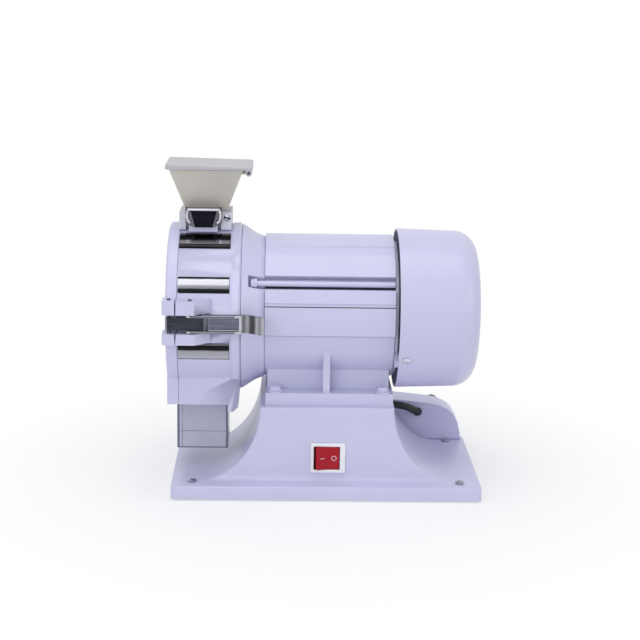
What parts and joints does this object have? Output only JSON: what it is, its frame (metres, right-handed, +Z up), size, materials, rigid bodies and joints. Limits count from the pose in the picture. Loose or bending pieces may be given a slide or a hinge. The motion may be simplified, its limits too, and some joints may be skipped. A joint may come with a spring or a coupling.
{
  "type": "analytical lab mill",
  "caption": "Bench-top lab mill on a waisted cast base: round drum with hinged door and toggle latch, top hopper with lid, discharge box below, motor with fan cover and red rocker switch.",
  "frame": {"origin": "on the floor plane of the rubber feet, under the middle of the bounding box of the whole mill at rest", "axes": "+Z up, +X along the motor axis from the drum door towards the fan cover, +Y away from the front with the switch and the latch"},
  "size_m": [0.3028, 0.2152, 0.3109],
  "materials": {
    "paint": "smooth pale lavender-white gloss paint",
    "white_plastic": "moulded off-white plastic",
    "cream_plastic": "cream translucent moulding",
    "smoke_clear": "smoky clear plastic",
    "red_plastic": "dark red translucent rocker",
    "black_plastic": "black moulded plastic",
    "rubber": "black rubber",
    "steel": "brushed steel",
    "stator_steel": "varnished laminations and copper windings",
    "chrome": "polished chrome",
    "dark_steel": "dark polished steel",
    "aluminium": "plain aluminium"
  },
  "bodies": {
    "door": {"door_plate": "paint", "door_gasket": "black_plastic", "keeper_pin": "dark_steel"},
    "latch_lever": {"latch_lever": "steel", "hook_pin": "steel"},
    "latch_hook": {"latch_hook": "dark_steel"},
    "hopper_lid": {"hopper_lid": "white_plastic"},
    "hopper_clip": {"hopper_clip": "chrome"},
    "sample_box": {"sample_box": "smoke_clear"},
    "rocker": {"switch_rocker": "red_plastic"},
    "rotor": {"motor_shaft": "steel", "rotor_core": "steel", "fan": "black_plastic", "beater_rotor": "steel", "rotor_nut": "dark_steel"},
    "base": {"base_casting": "paint", "bottom_plate": "aluminium", "rubber_foot_1": "rubber", "rubber_foot_2": "rubber", "rubber_foot_3": "rubber", "rubber_foot_4": "rubber", "flange_screw_1": "steel", "flange_screw_2": "steel", "flange_screw_3": "steel", "flange_screw_4": "steel", "foot_bolt_1": "steel", "foot_bolt_2": "steel", "foot_bolt_3": "steel", "foot_bolt_4": "steel", "switch_bezel": "white_plastic", "wiring_housing": "paint", "capacitor": "aluminium", "motor_lead": "rubber", "cable_gland": "black_plastic", "motor_frame": "paint", "stator": "stator_steel", "bearing_front": "chrome", "bearing_rear": "chrome", "end_bell_rear": "aluminium", "tie_rod_front": "steel", "tie_rod_rear": "steel", "fan_cover": "paint", "cover_screw_front": "steel", "cover_screw_rear": "steel", "adapter_bell": "paint", "drum_body": "paint", "chamber_strip_1": "chrome", "chamber_strip_2": "chrome", "chamber_strip_3": "chrome", "shaft_seal": "black_plastic", "grinding_ring": "steel", "sieve": "steel", "hinge_pin": "steel", "lever_pin_low": "dark_steel", "lever_pin_high": "dark_steel", "hopper_base": "white_plastic", "hopper_funnel": "cream_plastic", "lid_pin": "dark_steel", "hopper_screw": "dark_steel", "spout_shoe": "aluminium"}
  },
  "joints": [
    {"name": "rotor_spin", "type": "hinge", "parent": "base", "child": "rotor", "pos_m": [0.0034, -0.0107, 0.1705], "axis": [1, 0, 0], "continuous": true},
    {"name": "door_hinge", "type": "hinge", "parent": "base", "child": "door", "pos_m": [-0.14335, 0.0833, 0.1705], "axis": [0, 0, -1], "range_deg": [0, 110]},
    {"name": "latch_lever_pivot", "type": "hinge", "parent": "base", "child": "latch_lever", "pos_m": [-0.1252, -0.1001, 0.1726], "axis": [0, 0, -1], "range_deg": [0, 150]},
    {"name": "latch_hook_pivot", "type": "hinge", "parent": "latch_lever", "child": "latch_hook", "pos_m": [-0.1122, -0.0995, 0.1726], "axis": [0, 0, -1], "range_deg": [-150, 0]},
    {"name": "hopper_lid_hinge", "type": "hinge", "parent": "base", "child": "hopper_lid", "pos_m": [-0.0732, -0.0107, 0.3044], "axis": [0, 1, 0], "range_deg": [0, 105]},
    {"name": "hopper_clip_pivot", "type": "hinge", "parent": "base", "child": "hopper_clip", "pos_m": [-0.1131, -0.0351, 0.262], "axis": [-1, 0, 0], "range_deg": [0, 60]},
    {"name": "sample_box_slide", "type": "slide", "parent": "base", "child": "sample_box", "axis": [0, -1, 0], "range_m": [0, 0.04]},
    {"name": "rocker_pivot", "type": "hinge", "parent": "base", "child": "rocker", "pos_m": [0.0036, -0.074, 0.035], "axis": [0, 0, -1], "range_deg": [0, 16]}
  ],
  "couplings": [
    {"joint": "latch_hook_pivot", "follows": "latch_lever_pivot", "ratio": -1}
  ]
}
